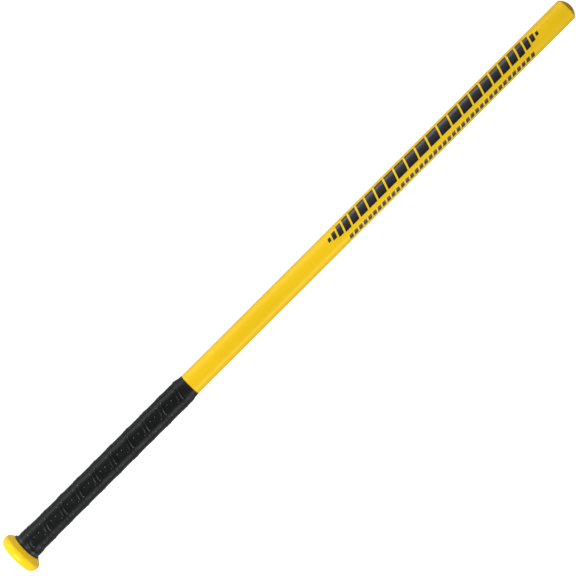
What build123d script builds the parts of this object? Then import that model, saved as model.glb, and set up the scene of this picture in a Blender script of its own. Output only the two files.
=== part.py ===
from build123d import *
import math
import os

# A straight training stick: a thin painted aluminium tube with a domed cap at its far end, a
# welded knob at the near end and a wrapped grip. The axis is +X, from the knob's flat end face
# at the origin to the tip of the dome, and the graphics face +Z. All sizes are in millimetres.

os.makedirs("parts", exist_ok=True)

# ---- overall sizes -------------------------------------------------------------------------
stick_length = 914.4
barrel_radius = 28.575 / 2
coat_thickness = 0.05
tube_wall = 2.11

# ---- knob ----------------------------------------------------------------------------------
knob_radius = 26.4
rim_crown_radius = 10.5
rim_crown_x = 8.0
face_round = 2.0
shoulder_corner_x = 10.95
shoulder_round = 4.7
shoulder_angle = 54.8
plug_radius = 11.5
hole_chamfer = 0.6
tube_seat_x = 5.0
collar_x = 16.0
collar_seat_radius = 17.0
neck_foot_x = 17.85
neck_foot_radius = 15.2
neck_foot_round = 3.0
neck_end_x = 30.0
neck_end_radius = 14.9

# ---- weld bead and plug --------------------------------------------------------------------
weld_length = 2.4
weld_middle_radius = 14.78
plug_length = 14.0
plug_recess_radius = 8.0
plug_recess_depth = 9.0

# ---- collar --------------------------------------------------------------------------------
collar_rim_radius = 19.45
collar_waist_x = 18.2
collar_waist_radius = 17.1
collar_end_x = 20.5
collar_end_radius = 16.55
collar_round = 0.4

# ---- grip ----------------------------------------------------------------------------------
wrap_start_x = 20.6
wrap_start_radius = 16.5
wrap_bulge_x = 25.0
wrap_bulge_radius = 16.85
wrap_settle_x = 36.0
wrap_settle_radius = 16.3
wrap_even_x = 46.0
wrap_radius = 16.0
wrap_far_radius = 15.7
wrap_taper_x = 274.0
wrap_end_x = 282.0
underlay_thickness = 0.15
underlay_start_x = 32.6
finish_tape_start_x = 273.0
finish_tape_thickness = 0.25
tape_step_x = 282.7
coat_start_x = 284.7
coat_full_x = 285.7

# ---- domed end cap -------------------------------------------------------------------------
dome_radius = 18.5
dome_shoulder_round = 1.5
spigot_length = 14.0
spigot_wall = 2.0
cap_core_depth = 2.3

# ---- graphics on the barrel ----------------------------------------------------------------
film_thickness = 0.1
graphic_slant = 20.0
bar_count = 25
bars_start_x = 518.5
bars_end_x = 863.0
bars_middle_y = 4.5
bars_height = 14.0
bar_gap = 2.6
narrowest_bar = 3.0
full_height_share = 0.76
end_height_share = 0.18
dash_count = 40
dashes_start_x = 540.0
dashes_end_x = 843.5
dashes_middle_y = -10.0
dashes_height = 4.2
dash_share = 0.7

# ---- sizes worked out from the ones above --------------------------------------------------
bare_radius = barrel_radius - coat_thickness
bore_radius = bare_radius - tube_wall
underlay_radius = bare_radius + underlay_thickness
shoulder_slope = math.tan(math.radians(shoulder_angle))
shoulder_foot_radius = knob_radius - shoulder_slope * (collar_x - shoulder_corner_x)
crown_centre_radius = knob_radius - rim_crown_radius
face_edge_radius = crown_centre_radius + math.sqrt(rim_crown_radius**2 - rim_crown_x**2)
weld_end_x = neck_end_x + weld_length
dome_centre_x = stick_length - dome_radius
shoulder_centre_radius = barrel_radius - dome_shoulder_round
tube_end_x = dome_centre_x + math.sqrt(
    (dome_radius - dome_shoulder_round) ** 2 - shoulder_centre_radius**2
)
dome_shoulder_turn = 90 - math.degrees(math.atan2(shoulder_centre_radius, tube_end_x - dome_centre_x))
spigot_end_x = tube_end_x - spigot_length
cap_core_radius = bore_radius - spigot_wall
cap_core_end_x = tube_end_x + cap_core_depth
slant_shift = math.tan(math.radians(graphic_slant))


# The tube is bare where the grip covers it. Its paint starts at the grip's far end, so the
# barrel beyond stands one coat proud of the handle.
with BuildPart() as barrel_tube:
    with BuildSketch(Plane.XY) as tube_profile:
        with BuildLine() as tube_outline:
            Polyline(
                (tube_seat_x, bore_radius),
                (tube_seat_x, bare_radius),
                (coat_start_x, bare_radius),
                (coat_full_x, barrel_radius),
                (tube_end_x, barrel_radius),
                (tube_end_x, bore_radius),
                close=True,
            )
        make_face()
    revolve(axis=Axis.X)
barrel_tube.part.label = "barrel_tube"
export_step(barrel_tube.part, "parts/barrel_tube.step")


# The knob has a flat face, a crowned rim, a straight shoulder that slopes to a stepped seat for
# the collar, and a thin neck that the tube is welded into. Its end is open for the plug.
with BuildPart() as knob:
    with BuildSketch(Plane.XY) as knob_profile:
        with BuildLine() as knob_outline:
            Line((0, plug_radius), (0, face_edge_radius))
            RadiusArc((0, face_edge_radius), (rim_crown_x, knob_radius), rim_crown_radius)
            FilletPolyline(
                (rim_crown_x, knob_radius),
                (shoulder_corner_x, knob_radius),
                (collar_x, shoulder_foot_radius),
                (collar_x, collar_seat_radius),
                (neck_foot_x, neck_foot_radius),
                (neck_end_x, neck_end_radius),
                radius=[shoulder_round, 0, 0, neck_foot_round],
            )
            Polyline(
                (neck_end_x, neck_end_radius),
                (neck_end_x, bare_radius),
                (tube_seat_x, bare_radius),
                (tube_seat_x, plug_radius),
                (0, plug_radius),
            )
        make_face()
    revolve(axis=Axis.X)
    face_edges = knob.edges().filter_by(GeomType.CIRCLE).group_by(Axis.X)[0].sort_by(SortBy.RADIUS)
    fillet(face_edges[-1], face_round)
    chamfer(face_edges[0], hole_chamfer)
knob.part.label = "knob"
export_step(knob.part, "parts/knob.step")


# A bead of weld metal fills the corner between the neck's end and the tube.
with BuildPart() as knob_weld:
    with BuildSketch(Plane.XY) as weld_profile:
        with BuildLine() as weld_outline:
            Polyline(
                (weld_end_x, bare_radius),
                (neck_end_x, bare_radius),
                (neck_end_x, neck_end_radius),
            )
            ThreePointArc(
                (neck_end_x, neck_end_radius),
                (neck_end_x + weld_length / 2, weld_middle_radius),
                (weld_end_x, bare_radius),
            )
        make_face()
    revolve(axis=Axis.X)
knob_weld.part.label = "knob_weld"
export_step(knob_weld.part, "parts/knob_weld.step")


# The plug closes the knob's open end flush with its face, and is cored out from inside.
with BuildPart() as knob_plug:
    with BuildSketch(Plane.YZ) as plug_disc:
        Circle(plug_radius)
    extrude(amount=plug_length)
    plug_rim = knob_plug.edges().group_by(Axis.X)[0]
    chamfer(plug_rim, hole_chamfer)
    with BuildSketch(Plane.YZ.offset(plug_length)) as plug_core:
        Circle(plug_recess_radius)
    extrude(amount=-plug_recess_depth, mode=Mode.SUBTRACT)
knob_plug.part.label = "knob_plug"
export_step(knob_plug.part, "parts/knob_plug.step")


# A soft ring sits in the knob's stepped seat and carries its flare down to the grip.
with BuildPart() as knob_collar:
    with BuildSketch(Plane.XY) as collar_profile:
        with BuildLine() as collar_outline:
            FilletPolyline(
                (collar_x, bare_radius),
                (collar_x, collar_rim_radius),
                (collar_waist_x, collar_waist_radius),
                (collar_end_x, collar_end_radius),
                (collar_end_x, bare_radius),
                radius=[collar_round, neck_foot_round, collar_round],
            )
            Line((collar_end_x, bare_radius), (collar_x, bare_radius))
        make_face()
    revolve(axis=Axis.X)
    add(knob.part, mode=Mode.SUBTRACT)
knob_collar.part.label = "knob_collar"
export_step(knob_collar.part, "parts/knob_collar.step")


# Double-sided tape lies on the bare tube and holds the wrap.
with BuildPart() as grip_underlay:
    with BuildSketch(Plane.XY) as underlay_profile:
        with BuildLine() as underlay_outline:
            Polyline(
                (underlay_start_x, bare_radius),
                (underlay_start_x, underlay_radius),
                (wrap_end_x, underlay_radius),
                (wrap_end_x, bare_radius),
                close=True,
            )
        make_face()
    revolve(axis=Axis.X)
grip_underlay.part.label = "grip_underlay"
export_step(grip_underlay.part, "parts/grip_underlay.step")


# The wound grip tape as one plain sleeve: thicker where its first turn doubles over the neck,
# and cut to a feather edge at its far end.
with BuildPart() as grip_wrap:
    with BuildSketch(Plane.XY) as wrap_profile:
        with BuildLine() as wrap_outline:
            FilletPolyline(
                (wrap_start_x, underlay_radius),
                (wrap_start_x, wrap_start_radius),
                (wrap_bulge_x, wrap_bulge_radius),
                (wrap_settle_x, wrap_settle_radius),
                (wrap_even_x, wrap_radius),
                (wrap_taper_x, wrap_far_radius),
                (wrap_end_x, underlay_radius),
                radius=[1.0, 20.0, 40.0, 60.0, 5.0],
            )
            Line((wrap_end_x, underlay_radius), (wrap_start_x, underlay_radius))
        make_face()
    revolve(axis=Axis.X)
    add(knob.part, mode=Mode.SUBTRACT)
    add(knob_weld.part, mode=Mode.SUBTRACT)
grip_wrap.part.label = "grip_wrap"
export_step(grip_wrap.part, "parts/grip_wrap.step")


# A short band of thin tape binds the wrap's far end and runs on to the edge of the paint.
with BuildPart() as grip_finish_tape:
    with BuildSketch(Plane.XY) as finish_profile:
        with BuildLine() as finish_outline:
            Polyline(
                (finish_tape_start_x, bare_radius),
                (finish_tape_start_x, wrap_far_radius + finish_tape_thickness),
                (wrap_taper_x, wrap_far_radius + finish_tape_thickness),
                (tape_step_x, bare_radius + finish_tape_thickness),
                (coat_full_x, bare_radius + finish_tape_thickness),
                (coat_full_x, bare_radius),
                close=True,
            )
        make_face()
    revolve(axis=Axis.X)
    add(grip_wrap.part, mode=Mode.SUBTRACT)
    add(grip_underlay.part, mode=Mode.SUBTRACT)
    add(barrel_tube.part, mode=Mode.SUBTRACT)
grip_finish_tape.part.label = "grip_finish_tape"
export_step(grip_finish_tape.part, "parts/grip_finish_tape.step")


# The cap is a hollow plug: a shallow dome, slightly rounded at its edge, on a spigot that is
# pressed into the tube.
with BuildPart() as end_cap:
    with BuildSketch(Plane.XY) as cap_profile:
        with BuildLine() as cap_outline:
            seat = Polyline(
                (cap_core_end_x, 0),
                (cap_core_end_x, cap_core_radius),
                (spigot_end_x, cap_core_radius),
                (spigot_end_x, bore_radius),
                (tube_end_x, bore_radius),
                (tube_end_x, barrel_radius),
            )
            shoulder = JernArc(
                start=seat @ 1,
                tangent=(1, 0),
                radius=dome_shoulder_round,
                arc_size=-dome_shoulder_turn,
            )
            crown = RadiusArc(shoulder @ 1, (stick_length, 0), dome_radius)
            Line(crown @ 1, seat @ 0)
        make_face()
    revolve(axis=Axis.X)
end_cap.part.label = "end_cap"
export_step(end_cap.part, "parts/end_cap.step")


# The graphics are pieces of thin film on the painted barrel, cut to slanted outlines. A row of
# bars swells from both ends to its middle, and a row of short dashes runs beside it.
with BuildPart() as barrel_bars:
    with BuildSketch(Plane.YZ.offset(coat_full_x)) as bar_ring:
        Circle(barrel_radius + film_thickness)
        Circle(barrel_radius, mode=Mode.SUBTRACT)
    extrude(amount=tube_end_x - coat_full_x)
    with BuildSketch(Plane.XY) as bar_outlines:
        places = [(2 * n + 1) / bar_count - 1 for n in range(bar_count)]
        swells = [1 - place**2 for place in places]
        free_width = bars_end_x - bars_start_x - bar_gap * (bar_count - 1)
        free_width -= narrowest_bar * bar_count
        left = bars_start_x
        for place, swell in zip(places, swells):
            width = narrowest_bar + free_width * swell / sum(swells)
            beyond = max(0, (abs(place) - full_height_share) / (1 - full_height_share))
            half_height = bars_height / 2 * (1 - (1 - end_height_share) * beyond)
            lean = slant_shift * half_height
            with BuildLine():
                Polyline(
                    (left - lean, bars_middle_y - half_height),
                    (left + width - lean, bars_middle_y - half_height),
                    (left + width + lean, bars_middle_y + half_height),
                    (left + lean, bars_middle_y + half_height),
                    close=True,
                )
            make_face()
            left += width + bar_gap
    extrude(amount=barrel_radius + film_thickness, mode=Mode.INTERSECT)
barrel_bars.part.label = "barrel_bars"
export_step(barrel_bars.part, "parts/barrel_bars.step")

with BuildPart() as barrel_dashes:
    with BuildSketch(Plane.YZ.offset(coat_full_x)) as dash_ring:
        Circle(barrel_radius + film_thickness)
        Circle(barrel_radius, mode=Mode.SUBTRACT)
    extrude(amount=tube_end_x - coat_full_x)
    with BuildSketch(Plane.XY) as dash_outlines:
        pitch = (dashes_end_x - dashes_start_x) / (dash_count - 1 + dash_share)
        lean = slant_shift * dashes_height / 2
        for n in range(dash_count):
            left = dashes_start_x + n * pitch
            right = left + dash_share * pitch
            with BuildLine():
                Polyline(
                    (left - lean, dashes_middle_y - dashes_height / 2),
                    (right - lean, dashes_middle_y - dashes_height / 2),
                    (right + lean, dashes_middle_y + dashes_height / 2),
                    (left + lean, dashes_middle_y + dashes_height / 2),
                    close=True,
                )
            make_face()
    extrude(amount=barrel_radius + film_thickness, mode=Mode.INTERSECT)
barrel_dashes.part.label = "barrel_dashes"
export_step(barrel_dashes.part, "parts/barrel_dashes.step")
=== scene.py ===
"""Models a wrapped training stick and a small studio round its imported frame.

The frame gives where every piece is. Each operator models one piece, or one group of like pieces,
and the panel in the 3D view's sidebar lists them. Lengths are in metres, and the stick lies along X.
"""
import math

import bpy
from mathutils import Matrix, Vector, noise


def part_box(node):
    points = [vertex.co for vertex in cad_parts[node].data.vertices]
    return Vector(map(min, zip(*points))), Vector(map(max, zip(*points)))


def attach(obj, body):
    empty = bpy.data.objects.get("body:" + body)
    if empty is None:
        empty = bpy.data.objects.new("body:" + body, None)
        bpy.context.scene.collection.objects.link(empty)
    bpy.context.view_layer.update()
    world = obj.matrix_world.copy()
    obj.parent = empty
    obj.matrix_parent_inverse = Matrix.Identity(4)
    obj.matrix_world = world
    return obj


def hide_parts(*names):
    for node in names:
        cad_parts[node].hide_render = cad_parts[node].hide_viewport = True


bl_info = {
    "name": "Training Stick",
    "version": (1, 0, 0),
    "blender": (4, 5, 0),
    "location": "View3D > Sidebar > Stick",
    "description": "Models a wrapped training stick and its studio round a packed frame",
    "category": "Object",
}

MM = 0.001
BODY = "root"
TURN = 2 * math.pi

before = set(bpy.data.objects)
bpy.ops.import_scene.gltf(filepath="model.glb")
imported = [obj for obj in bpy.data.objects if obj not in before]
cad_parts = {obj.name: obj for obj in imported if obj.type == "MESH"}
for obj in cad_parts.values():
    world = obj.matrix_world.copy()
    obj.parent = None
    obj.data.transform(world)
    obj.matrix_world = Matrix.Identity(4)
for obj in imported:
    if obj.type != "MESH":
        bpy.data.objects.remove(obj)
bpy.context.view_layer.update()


# ---- places that the frame gives ----


def reach(node):
    """Where a round node starts and ends along the stick, and its radius."""
    low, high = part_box(node)
    return low.x, high.x, high.y


KNOB_END, NECK_END, KNOB_RADIUS = reach("knob")
TUBE_START, TUBE_END, BARREL_RADIUS = reach("barrel_tube")
SPIGOT_END, STICK_END, CAP_RADIUS = reach("end_cap")
COLLAR_START, _, COLLAR_RADIUS = reach("knob_collar")
PLUG_START, PLUG_END, PLUG_RADIUS = reach("knob_plug")
WELD_START, WELD_END, WELD_RADIUS = reach("knob_weld")
UNDERLAY_START, UNDERLAY_END, UNDERLAY_RADIUS = reach("grip_underlay")
WRAP_START, WRAP_END, _ = reach("grip_wrap")
TAPE_START, TAPE_END, _ = reach("grip_finish_tape")
BARS_LOW, BARS_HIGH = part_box("barrel_bars")
DASHES_LOW, DASHES_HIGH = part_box("barrel_dashes")


# ---- settings ----


def length(name, description, default):
    """A length in metres that the user may change."""
    return bpy.props.FloatProperty(
        name=name, description=description, default=default, precision=5, unit="LENGTH"
    )


def tilt(name, description, degrees):
    """An angle that the user may change."""
    return bpy.props.FloatProperty(
        name=name, description=description, default=math.radians(degrees), subtype="ANGLE"
    )


def amount(name, description, default):
    """A share, a number of turns, or watts, that the user may change."""
    return bpy.props.FloatProperty(name=name, description=description, default=default)


def count(name, description, default, least=1):
    """A whole number that the user may change."""
    return bpy.props.IntProperty(name=name, description=description, default=default, min=least)


def colour(name, description, default):
    """A linear colour that the user may change."""
    return bpy.props.FloatVectorProperty(
        name=name, description=description, default=default, subtype="COLOR", min=0, max=1
    )


class StickSizes(bpy.types.PropertyGroup):
    """Sizes of the hard pieces that the frame doesn't give."""

    sides: count("Sides", "Facets round each turned piece", 160, 32)
    arc_steps: count("Arc steps", "Points along each quarter of a round", 12, 3)
    coat: length("Coat", "Thickness of the paint beyond the grip", 0.05 * MM)
    wall: length("Wall", "Wall of the tube", 2.11 * MM)
    crown_radius: length("Crown radius", "Radius of the knob's crowned rim", 10.5 * MM)
    crown_middle: length("Crown middle", "Where the crown is widest", 8 * MM)
    face_round: length("Face round", "Round between the knob's face and its crown", 2 * MM)
    shoulder_round: length("Shoulder round", "Round between rim and shoulder", 4.7 * MM)
    shoulder_corner: length("Shoulder corner", "Where the shoulder would meet the rim", 10.95 * MM)
    shoulder_angle: tilt("Shoulder angle", "Slope of the knob's shoulder to the stick's axis", 54.8)
    seat_radius: length("Collar seat", "Radius of the step that the collar sits on", 17 * MM)
    neck_radius: length("Neck", "Radius of the knob's neck at its foot", 15.2 * MM)
    neck_foot: length("Neck foot", "Where the neck starts along the stick", 17.85 * MM)
    neck_lip: length("Neck lip", "Radius of the neck's far end", 14.9 * MM)
    collar_lip: length("Collar lip", "Round at both edges of the collar", 0.45 * MM)
    collar_flare: tilt("Collar flare", "Where the collar's round meets its flare", 40)
    flare_width: length("Flare width", "Length of the collar's flare", 2.1 * MM)
    waist_radius: length("Collar waist", "Radius where the flare ends", 17.1 * MM)
    collar_end: length("Collar end", "Radius of the collar where the wrap starts", 16.5 * MM)
    edge_break: length("Edge break", "Small chamfer on hard edges", 0.12 * MM)
    hole_chamfer: length("Hole chamfer", "Chamfer at the knob's hole and its plug", 0.6 * MM)
    plug_dish: length("Plug dish", "Depth of the dish in the plug", 0.35 * MM)
    plug_core: length("Plug core", "Radius of the hollow inside the plug", 8 * MM)
    plug_hollow: length("Plug hollow", "Depth of the hollow inside the plug", 9 * MM)
    weld_crest: length("Weld crest", "Radius of the weld at its middle", 14.78 * MM)
    ripples: count("Ripples", "Ripples round the weld", 56)
    dome_radius: length("Dome radius", "Radius of the domed tip", 18.5 * MM)
    dome_shoulder: length("Dome shoulder", "Round at the dome's edge", 1.5 * MM)
    dome_wall: length("Dome wall", "How far the cap's hollow stays off the tube's end", 2.3 * MM)
    spigot_wall: length("Spigot wall", "Wall of the cap's spigot", 2 * MM)


class GripSizes(bpy.types.PropertyGroup):
    """Sizes of the wound grip tape and the tape that ends it."""

    pitch: length("Pitch", "Advance of the wrap in one turn", 27.15 * MM)
    overlap: length("Overlap", "How far each turn lies on the one before", 8.5 * MM)
    thickness: length("Thickness", "Thickness of the grip tape", 1.45 * MM)
    lip: length("Lip", "Width of each rounded rise near the tape's free edge", 1 * MM)
    band: length("Band", "Width of the thin band along the free edge", 4.8 * MM)
    edge_share: amount("Edge share", "Share of the thickness left at an edge", 0.1)
    lip_share: amount("Lip share", "Share that the free edge's lip adds", 0.18)
    step_share: amount("Step share", "Share that the step beyond the thin band adds", 0.3)
    far_share: amount("Far share", "Share that the tape loses towards its far edge", 0.18)
    first_seam: length("First seam", "Where the first edge crosses the top", 21.2 * MM)
    columns: count("Columns", "Faces round one turn of the wrap", 84, 24)
    rows: count("Rows", "Faces across the width of the wrap", 36, 24)
    hole_radius: length("Hole radius", "Radius of each breathing hole", 0.55 * MM)
    hole_depth: length("Hole depth", "Depth of each breathing hole", 0.18 * MM)
    hole_row_gap: length("Hole rows", "Distance between rows of holes", 6.4 * MM)
    first_hole_row: length("First row", "Where the first row of holes is across", 6.2 * MM)
    hole_step: count("Hole step", "Columns from one hole to the next in a row", 12)
    lumps: length("Lumps", "Height of the wrap's unevenness", 0.34 * MM)
    waver: length("Waver", "How far the wound edges stray from an even spiral", 0.5 * MM)
    swell: length("Swell", "Rise of the wrap just beyond the collar", 0.18 * MM)
    neck_rise: length("Neck rise", "Rise of the wrap over the knob's neck", 0.64 * MM)
    weld_rise: length("Weld rise", "Rise of the wrap over the weld and beyond it", 0.32 * MM)
    tape_thickness: length("Tape", "Thickness of one layer of the finishing tape", 0.08 * MM)
    tape_turns: amount("Tape turns", "Turns of the finishing tape", 1.3)
    tape_start: amount("Tape start", "Where the finishing tape starts, as part of a turn", 0.62)
    tape_rows: count("Tape rows", "Faces across the width of the finishing tape", 26)


class StickColours(bpy.types.PropertyGroup):
    """Colours of the finishes."""

    paint: colour("Paint", "Yellow of the tube, cap and knob", (0.86, 0.55, 0.012))
    leather: colour("Leather", "Black of the grip tape", (0.0042, 0.0047, 0.0046))
    rubber: colour("Rubber", "Black of the knob's collar", (0.012, 0.0105, 0.015))
    tape: colour("Tape", "Black of the finishing tape", (0.007, 0.0066, 0.0082))
    underlay: colour("Underlay", "Cream of the tape under the grip", (0.7, 0.68, 0.62))
    plug: colour("Plug", "Charcoal of the plug in the knob", (0.03, 0.03, 0.031))
    weld: colour("Weld", "Grey of the bare weld", (0.62, 0.62, 0.64))
    film: colour("Film", "Black of the graphics", (0.004, 0.004, 0.0045))
    # Film sheen: painted sheen, a slate band across the middle of the bars.
    film_sheen: colour("Film middle", "Slate that the bars fade to", (0.02, 0.019, 0.024))


class StudioSettings(bpy.types.PropertyGroup):
    """Where the camera is, and how bright the lights are."""

    aim: length("Aim", "Point along the stick that the camera faces", 447 * MM)
    side_step: length("Side step", "How far the camera stands to one side", -0.93 * MM)
    distance: length("Distance", "Height of the camera above the stick's axis", 2.16)
    view_width: length("View width", "Width of the view at the stick's axis", 674.2 * MM)
    roll: tilt("Roll", "Turn of the view", 44.92)
    side_power: amount("Side light", "Watts of the long panel at the left hand", 9.6)
    fill_power: amount("Fill light", "Watts of the long panel at the right hand", 6.2)
    end_power: amount("End light", "Watts of the large light beyond the knob", 122)
    knob_power: amount("Knob light", "Watts of the spot on the knob's shoulder", 6.5)
    tip_power: amount("Tip light", "Watts of the spot on the barrel's tip half", 38)
    ambient: amount("Ambient", "Brightness of the surroundings", 0.16)
    floor_tone: amount("Floor tone", "How pale the floor is", 0.5)
    floor_glow: amount("Floor glow", "How much the floor lights itself for the camera", 0.85)
    floor_bounce: amount("Floor bounce", "How much light the floor sends back", 0.4)


# ---- modelling helpers ----


def start_piece():
    """Leaves edit mode and deselects everything, so that operators act on new work only."""
    if bpy.context.mode != "OBJECT":
        bpy.ops.object.mode_set(mode="OBJECT")
    bpy.ops.object.select_all(action="DESELECT")


def arc(centre_x, centre_radius, radius, start, end, steps):
    """Points of an arc in an outline. Angles are in radians from +X towards the outside."""
    points = []
    for step in range(steps + 1):
        angle = start + (end - start) * step / steps
        x = centre_x + radius * math.cos(angle)
        points.append((x, centre_radius + radius * math.sin(angle)))
    return points


def turned(name, outline, sides):
    """A piece turned about the X axis from a closed outline of (x, radius) points."""
    start_piece()
    x, radius = outline[0]
    bpy.ops.mesh.primitive_plane_add(size=MM, location=(x, 0, radius))
    piece = placed(name)
    bpy.ops.object.mode_set(mode="EDIT")
    bpy.ops.mesh.select_all(action="SELECT")
    bpy.ops.mesh.merge(type="CENTER")
    for next_x, next_radius in [*outline[1:], outline[0]]:
        step = (next_x - x, 0, next_radius - radius)
        bpy.ops.mesh.extrude_vertices_move(TRANSFORM_OT_translate={"value": step})
        x, radius = next_x, next_radius
    bpy.ops.mesh.select_all(action="SELECT")
    bpy.ops.mesh.spin(steps=sides, angle=TURN, center=(0, 0, 0), axis=(1, 0, 0))
    bpy.ops.mesh.select_all(action="SELECT")
    bpy.ops.mesh.remove_doubles(threshold=0.002 * MM)
    bpy.ops.mesh.normals_make_consistent(inside=False)
    bpy.ops.object.mode_set(mode="OBJECT")
    return piece


def finished(piece, material, nodes, smooth=35):
    """Shades a piece, gives it its finish, and ties it to the frame."""
    start_piece()
    piece.select_set(True)
    bpy.context.view_layer.objects.active = piece
    bpy.ops.object.shade_smooth_by_angle(angle=math.radians(smooth))
    piece.data.materials.clear()
    piece.data.materials.append(material)
    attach(piece, BODY)
    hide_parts(*nodes)


def placed(name, scale=(1, 1, 1)):
    """Names and scales the primitive just added, and applies its place to its mesh."""
    piece = bpy.context.object
    piece.name = name
    piece.scale = scale
    bpy.ops.object.transform_apply(location=True, rotation=True, scale=True)
    return piece


def tube_radii(sizes):
    """Radii of the bare tube, outside and inside."""
    bare = BARREL_RADIUS - sizes.coat
    return bare, bare - sizes.wall


def smoothstep(low, high, value):
    """0 below low, 1 above high, and an even S between them."""
    share = min(max((value - low) / (high - low), 0), 1)
    return share * share * (3 - 2 * share)


def in_edit_mode(piece, pick=None):
    """Opens a piece in edit mode with only the picked vertices selected, or all of them."""
    start_piece()
    piece.select_set(True)
    bpy.context.view_layer.objects.active = piece
    bpy.ops.object.mode_set(mode="EDIT")
    bpy.ops.mesh.select_mode(type="VERT")
    bpy.ops.mesh.select_all(action="DESELECT")
    bpy.ops.object.mode_set(mode="OBJECT")
    for vertex in piece.data.vertices:
        vertex.select = pick is None or pick(vertex)
    bpy.ops.object.mode_set(mode="EDIT")


def flat_strip(name, start, run, width, columns, rows):
    """A flat grid that runs along X from a start, and across Y from 0."""
    start_piece()
    bpy.ops.mesh.primitive_grid_add(
        x_subdivisions=columns,
        y_subdivisions=rows,
        size=1,
        location=(start + run / 2, width / 2, 0),
    )
    return placed(name, (run, width, 1))


def thicken(height):
    """Gives the flat piece that is in edit mode its thickness, and leaves edit mode."""
    bpy.ops.mesh.select_all(action="SELECT")
    bpy.ops.mesh.extrude_region_move(TRANSFORM_OT_translate={"value": (0, 0, height)})
    bpy.ops.object.mode_set(mode="OBJECT")


def face_outwards(piece):
    """Turns every face of a closed piece outwards."""
    in_edit_mode(piece)
    bpy.ops.mesh.normals_make_consistent(inside=False)
    bpy.ops.object.mode_set(mode="OBJECT")


def lay_uv(piece):
    """Gives a flat piece a UV map in metres, before it is wound round the stick."""
    layer = piece.data.uv_layers.active or piece.data.uv_layers.new(name="UVMap")
    vertices = piece.data.vertices
    for loop in piece.data.loops:
        place = vertices[loop.vertex_index].co
        layer.data[loop.index].uv = (place.x, place.y)


def put(piece, rule):
    """Moves each vertex of a piece to the place that rule gives."""
    for vertex in piece.data.vertices:
        vertex.co = rule(vertex.co)
    piece.data.update()


def round_the_stick(x, radius, angle):
    """A point at a distance along the stick, a radius and an angle from the top towards +Y."""
    return Vector((x, radius * math.sin(angle), radius * math.cos(angle)))


# ---- shader groups and materials ----


def add_node(tree, kind, place, inputs=None, **settings):
    """A node at a (column, row) place, with its settings and unlinked inputs."""
    made = tree.nodes.new(kind)
    made.location = (place[0] * 220, -place[1] * 240)
    for name, value in settings.items():
        setattr(made, name, value)
    for name, value in (inputs or {}).items():
        made.inputs[name].default_value = value
    return made


def empty_tree(owner):
    """The emptied node tree of a material or a world."""
    owner.use_nodes = True
    owner.node_tree.nodes.clear()
    return owner.node_tree


def wire(tree, *wires):
    """Links sockets. Each wire is a node and its output, then a node and its input."""
    for source, output, target, socket in wires:
        tree.links.new(source.outputs[output], target.inputs[socket])


def maths(tree, place, operation, inputs=None):
    """A math node, with any inputs that stay unlinked by their number."""
    return add_node(tree, "ShaderNodeMath", place, inputs, operation=operation)


def new_group(name, inputs, outputs):
    """An empty shader group with float or vector sockets, and its two end nodes."""
    tree = bpy.data.node_groups.new(name, "ShaderNodeTree")
    for socket, default in inputs.items():
        kind = "NodeSocketVector" if default is None else "NodeSocketFloat"
        made = tree.interface.new_socket(socket, in_out="INPUT", socket_type=kind)
        if default is not None:
            made.default_value = default
    for socket in outputs:
        tree.interface.new_socket(socket, in_out="OUTPUT", socket_type="NodeSocketFloat")
    start = add_node(tree, "NodeGroupInput", (0, 0))
    end = add_node(tree, "NodeGroupOutput", (8, 0))
    return tree, start, end


def ramp(tree, place, low, high):
    """A smooth colour ramp from black at low to white at high."""
    made = add_node(tree, "ShaderNodeValToRGB", place)
    made.color_ramp.interpolation = "EASE"
    first, last = made.color_ramp.elements
    first.position = low
    last.position = high
    return made


def grain_group():
    """Fine all-over texture: a height for bumps and a slow drift for tone."""
    tree, start, end = new_group(
        "Surface Grain", {"Vector": None, "Fine": 900.0, "Broad": 18.0}, ["Height", "Drift"]
    )
    fine = add_node(tree, "ShaderNodeTexNoise", (2, 0), {"Detail": 3.0, "Roughness": 0.55})
    broad = add_node(tree, "ShaderNodeTexNoise", (2, 1), {"Detail": 4.0, "Roughness": 0.5})
    wire(
        tree,
        (start, "Vector", fine, "Vector"),
        (start, "Vector", broad, "Vector"),
        (start, "Fine", fine, "Scale"),
        (start, "Broad", broad, "Scale"),
        (fine, "Fac", end, "Height"),
        (broad, "Fac", end, "Drift"),
    )
    return tree


def in_patches(tree, start, end, marks, where):
    """Keeps marks only in patches, and scales them by the group's Amount."""
    both = maths(tree, (5, 0), "MULTIPLY")
    scaled = maths(tree, (6, 0), "MULTIPLY")
    wire(
        tree,
        (marks, 0, both, 0),
        (where, "Color", both, 1),
        (both, 0, scaled, 0),
        (start, "Amount", scaled, 1),
        (scaled, 0, end, "Mask"),
    )


def scuff_group():
    """Thin hairline scuffs, more round the stick than along it."""
    tree, start, end = new_group(
        "Scuffs", {"Vector": None, "Scale": 60.0, "Amount": 0.3}, ["Mask"]
    )
    stretch = add_node(
        tree, "ShaderNodeMapping", (1, 0), {"Scale": (4.0, 0.5, 0.5), "Rotation": (0.3, 0.5, 0.2)}
    )
    hairs = add_node(tree, "ShaderNodeTexNoise", (2, 0), {"Detail": 2.0, "Distortion": 0.4})
    patches = add_node(tree, "ShaderNodeTexNoise", (2, 1), {"Scale": 14.0, "Detail": 3.0})
    thin = ramp(tree, (3, 0), 0.66, 0.72)
    where = ramp(tree, (3, 1), 0.5, 0.68)
    wire(
        tree,
        (start, "Vector", stretch, "Vector"),
        (stretch, "Vector", hairs, "Vector"),
        (start, "Vector", patches, "Vector"),
        (start, "Scale", hairs, "Scale"),
        (hairs, "Fac", thin, "Fac"),
        (patches, "Fac", where, "Fac"),
    )
    in_patches(tree, start, end, thin, where)
    return tree


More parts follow.
